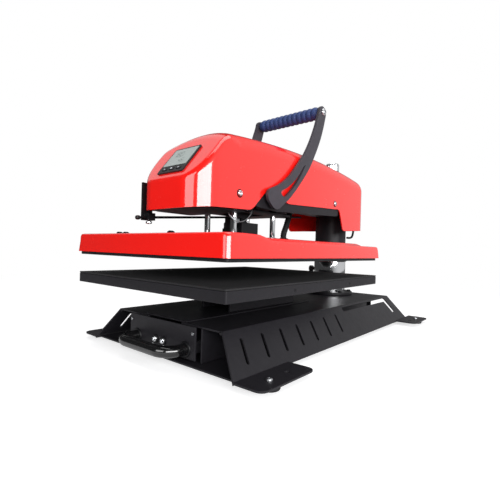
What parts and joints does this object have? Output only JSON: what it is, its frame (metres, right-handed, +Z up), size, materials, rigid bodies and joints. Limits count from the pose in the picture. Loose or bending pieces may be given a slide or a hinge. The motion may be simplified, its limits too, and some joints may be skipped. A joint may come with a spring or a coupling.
{
  "type": "heat press",
  "caption": "Swing-away heat press: red head with lever, heated upper platen, draw-out lower platen and flared sheet-steel base.",
  "frame": {"origin": "on the floor under the centre of the machine's outer box", "axes": "+X to the operator's right, +Y from the operator to the back, +Z up"},
  "size_m": [0.478, 0.8, 0.533],
  "materials": {
    "powder_charcoal": "fine textured powder coat",
    "red_gloss": "gloss paint",
    "red_moulded": "high gloss",
    "platen_black": "black non-stick coat",
    "platen_charcoal": "fine textured powder coat",
    "chrome": "polished",
    "zinc_steel": "zinc plated",
    "black_paint": "satin",
    "black_gloss": "gloss",
    "black_plastic": "fine texture",
    "rubber_black": "matt",
    "silicone": "matt",
    "blue_grip": "ribbed, soft",
    "lcd_glass": "clear window over a grey-green display"
  },
  "bodies": {
    "base": {"wing_right": "powder_charcoal", "wing_left": "powder_charcoal", "base_deck": "powder_charcoal", "floor_plate": "powder_charcoal", "channel_wall_right": "powder_charcoal", "channel_wall_left": "powder_charcoal", "rear_panel": "powder_charcoal", "foot_front_right": "rubber_black", "foot_front_left": "rubber_black", "foot_rear_right": "rubber_black", "foot_rear_left": "rubber_black", "slide_outer_right": "zinc_steel", "slide_outer_left": "zinc_steel", "post_flange": "powder_charcoal", "swing_post": "chrome", "thrust_collar": "black_paint"},
    "drawer": {"drawer_tray": "powder_charcoal", "slide_inner_right": "zinc_steel", "slide_inner_left": "zinc_steel", "pull_handle": "black_gloss", "pedestal_box": "powder_charcoal", "platen_bracket": "powder_charcoal", "lower_platen": "platen_charcoal", "silicone_pad": "silicone"},
    "slide_middles": {"slide_middle_right": "zinc_steel", "slide_middle_left": "zinc_steel"},
    "head": {"swing_arm": "powder_charcoal", "side_rail_right": "powder_charcoal", "side_rail_left": "powder_charcoal", "chassis_plate": "black_paint", "under_plate": "powder_charcoal", "head_cover": "red_moulded", "lcd_bezel": "black_plastic", "lcd_glass": "lcd_glass", "power_socket": "black_plastic", "rod_guide": "black_paint", "rear_stay": "black_paint"},
    "button_1": {"button_1": "black_plastic"},
    "button_2": {"button_2": "black_plastic"},
    "button_3": {"button_3": "black_plastic"},
    "power_switch": {"power_switch": "black_plastic"},
    "lock_rod": {"lock_rod": "black_paint"},
    "pressure_knob": {"pressure_knob": "black_plastic"},
    "lever": {"lever_arm_right": "powder_charcoal", "lever_arm_left": "powder_charcoal", "pivot_shaft": "zinc_steel", "toggle_crank": "powder_charcoal", "grip_rod": "chrome", "grip_sleeve": "blue_grip", "grip_screw_right": "chrome", "grip_screw_left": "chrome"},
    "toggle_link": {"toggle_link": "zinc_steel"},
    "press": {"heat_plate": "platen_black", "platen_cover": "red_gloss", "yoke": "black_paint", "guide_post_front_right": "chrome", "guide_post_front_left": "chrome", "guide_post_rear_right": "chrome", "guide_post_rear_left": "chrome", "heater_conduit": "rubber_black"}
  },
  "joints": [
    {"name": "drawer_slide", "type": "slide", "parent": "base", "child": "drawer", "axis": [0, -1, 0], "range_m": [0, 0.3]},
    {"name": "slide_extend", "type": "slide", "parent": "base", "child": "slide_middles", "axis": [0, -1, 0], "range_m": [0, 0.15]},
    {"name": "head_swing", "type": "hinge", "parent": "base", "child": "head", "pos_m": [0, 0.257, 0.25], "axis": [0, 0, 1], "range_deg": [0, 110]},
    {"name": "lever_pivot", "type": "hinge", "parent": "head", "child": "lever", "pos_m": [0, -0.149, 0.297], "axis": [1, 0, 0], "range_deg": [0, 100]},
    {"name": "press_slide", "type": "slide", "parent": "head", "child": "press", "axis": [0, 0, -1], "range_m": [0, 0.0334], "deforming": ["heater_conduit"]},
    {"name": "link_swing", "type": "hinge", "parent": "lever", "child": "toggle_link", "pos_m": [0, -0.16295, 0.31362], "axis": [1, 0, 0], "range_deg": [-100, 0]},
    {"name": "knob_turn", "type": "hinge", "parent": "head", "child": "pressure_knob", "pos_m": [0, 0.257, 0.44], "axis": [0, 0, 1], "continuous": true},
    {"name": "lock_pull", "type": "slide", "parent": "head", "child": "lock_rod", "axis": [-0.026, -0.9962, -0.0836], "range_m": [0, 0.012], "stiffness_N_per_m": 300},
    {"name": "button_1_press", "type": "slide", "parent": "head", "child": "button_1", "axis": [0, 0.7749, -0.632], "range_m": [0, 0.0012], "stiffness_N_per_m": 500},
    {"name": "button_2_press", "type": "slide", "parent": "head", "child": "button_2", "axis": [0, 0.7749, -0.632], "range_m": [0, 0.0012], "stiffness_N_per_m": 500},
    {"name": "button_3_press", "type": "slide", "parent": "head", "child": "button_3", "axis": [0, 0.7749, -0.632], "range_m": [0, 0.0012], "stiffness_N_per_m": 500},
    {"name": "switch_rock", "type": "hinge", "parent": "head", "child": "power_switch", "pos_m": [0, 0.3184, 0.339], "axis": [1, 0, 0], "range_deg": [0, 10]}
  ],
  "couplings": [
    {"joint": "slide_extend", "follows": "drawer_slide", "ratio": 0.5},
    {"joint": "press_slide", "follows": "lever_pivot", "m_per_rad": 0.01908},
    {"joint": "link_swing", "follows": "lever_pivot", "ratio": -1}
  ]
}
